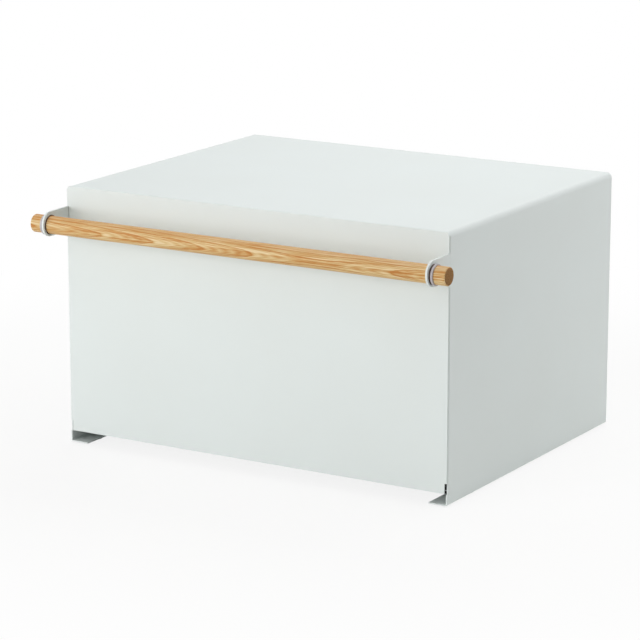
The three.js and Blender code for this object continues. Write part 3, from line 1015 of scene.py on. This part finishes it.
lamps = {
    "overhead": {"place": (0.1, -0.1, 2.0), "size": (2.4, 2.4), "watts": 15.9},
    "rearTop": {"place": (0, 1.2, 1.7), "size": (2.0, 1.2), "watts": 19.6},
    "frontTop": {"place": (0.2, -1.1, 1.3), "size": (1.6, 0.8), "watts": 3.4},
    "frontMid": {"place": (-0.3, -2.2, 1.2), "size": (1.4, 1.0), "watts": 9},
    "frontLeft": {"place": (-1.3, -2.2, 0.6), "size": (1.0, 1.0), "watts": 17.9},
    "farLeft": {"place": (-2.1, -1.6, 0.5), "size": (0.9, 0.9), "watts": 9.8},
    "rightRear": {"place": (2.0, 1.4, 0.7), "size": (1.6, 1.2), "watts": 20.5},
    "nearFront": {"place": (-0.1, -1.25, 0.1), "size": (1.2, 0.14), "watts": 0.8},
}

studio = {
    "floorSize": 14,
    "floorColour": "#f4f4f2",
    "nearGlow": 0.85,  # share of the floor near the box that is seen as plain white; further off it is 1
    "nearReach": 0.34,  # metres from the middle
    "farReach": 0.8,
    "shadeHalf": (0.18, 0.12),  # half of the floor under the box that isn't seen as white at all
    "shadeMiddle": 0.035,
    "shadeEdge": 0.015,
    "lampTarget": (0, 0, 0.11),
}


# The camera that the photograph was taken with, as far as the box's edges tell
def setCamera():
    data = bpy.data.cameras.new("studioCamera")
    data.lens = camera["lens"]
    data.sensor_width = camera["sensor"]
    data.clip_end = camera["clipEnd"]
    eye = bpy.data.objects.new("studioCamera", data)
    bpy.context.scene.collection.objects.link(eye)
    eye.location = camera["place"]
    eye.rotation_euler = Vector(camera["looksAlong"]).to_track_quat("-Z", "Y").to_euler()
    bpy.context.scene.camera = eye


def hangLamps():
    for name, lamp in lamps.items():
        data = bpy.data.lights.new(name, "AREA")
        data.shape = "RECTANGLE"
        data.size, data.size_y = lamp["size"]
        data.energy = lamp["watts"]
        light = bpy.data.objects.new(name, data)
        bpy.context.scene.collection.objects.link(light)
        light.location = lamp["place"]
        toTarget = Vector(studio["lampTarget"]) - Vector(lamp["place"])
        light.rotation_euler = toTarget.to_track_quat("-Z", "Y").to_euler()


# 1 for what the camera sees, straight or in a gloss or through something clear, and 0 for other light
def seenShare(tree):
    path = addNode(tree, "LightPath")
    mirrored = addNode(tree, "Math", {"operation": "MAXIMUM"}, {
        0: path.outputs["Is Glossy Ray"], 1: path.outputs["Is Transmission Ray"],
    })
    return addNode(tree, "Math", {"operation": "MAXIMUM"}, {0: path.outputs["Is Camera Ray"], 1: mirrored})


# The room behind is seen as plain white, and lends no light of its own
def paleWorld():
    world = bpy.data.worlds.new("paleRoom")
    bpy.context.scene.world = world
    world.use_nodes = True
    tree = world.node_tree
    tree.nodes.clear()
    sky = addNode(tree, "Background", None, {"Color": (1, 1, 1, 1), "Strength": seenShare(tree)})
    addNode(tree, "OutputWorld", None, {"Surface": sky})


# The floor takes the box's shadow, and away from it looks as white as the room behind
def paleFloor():
    bm = bmesh.new()
    bmesh.ops.create_grid(bm, x_segments=1, y_segments=1, size=studio["floorSize"] / 2)
    mesh = bpy.data.meshes.new("floor")
    bm.to_mesh(mesh)
    bm.free()
    floor = bpy.data.objects.new("floor", mesh)
    bpy.context.scene.collection.objects.link(floor)
    material, tree = newMaterial("palePaper")
    paper = addNode(tree, "BsdfDiffuse", None, {"Color": linearFrom(studio["floorColour"])})
    glow = addNode(tree, "Emission", None, {"Color": (1, 1, 1, 1), "Strength": 1})
    spot = addNode(tree, "TexCoord")
    reach = addNode(tree, "VectorMath", {"operation": "LENGTH"}, {0: spot.outputs["Object"]})
    spread = addNode(tree, "MapRange", {"interpolation_type": "SMOOTHSTEP"}, {
        "Value": reach, "From Min": studio["nearReach"], "From Max": studio["farReach"],
        "To Min": studio["nearGlow"], "To Max": 1,
    })
    place = addNode(tree, "SeparateXYZ", None, {0: spot.outputs["Object"]})
    outside = []
    for axis, middle, half in zip("XY", (0, studio["shadeMiddle"]), studio["shadeHalf"]):
        away = addNode(tree, "Math", {"operation": "SUBTRACT"}, {0: place.outputs[axis], 1: middle})
        span = addNode(tree, "Math", {"operation": "ABSOLUTE"}, {0: away})
        outside.append(addNode(tree, "MapRange", {"interpolation_type": "SMOOTHSTEP"}, {
            "Value": span, "From Min": half - studio["shadeEdge"], "From Max": half,
            "To Min": 0, "To Max": 1,
        }))
    clear = addNode(tree, "Math", {"operation": "MAXIMUM"}, {0: outside[0], 1: outside[1]})
    pale = addNode(tree, "Math", {"operation": "MULTIPLY"}, {0: clear, 1: spread})
    share = addNode(tree, "Math", {"operation": "MULTIPLY"}, {0: seenShare(tree), 1: pale})
    mix = addNode(tree, "MixShader", None, {0: share, 1: paper, 2: glow})
    addNode(tree, "OutputMaterial", None, {"Surface": mix})
    mesh.materials.append(material)


setCamera()
hangLamps()
paleWorld()
paleFloor()
bpy.context.scene.view_settings.view_transform = "Standard"
print("studio ready")
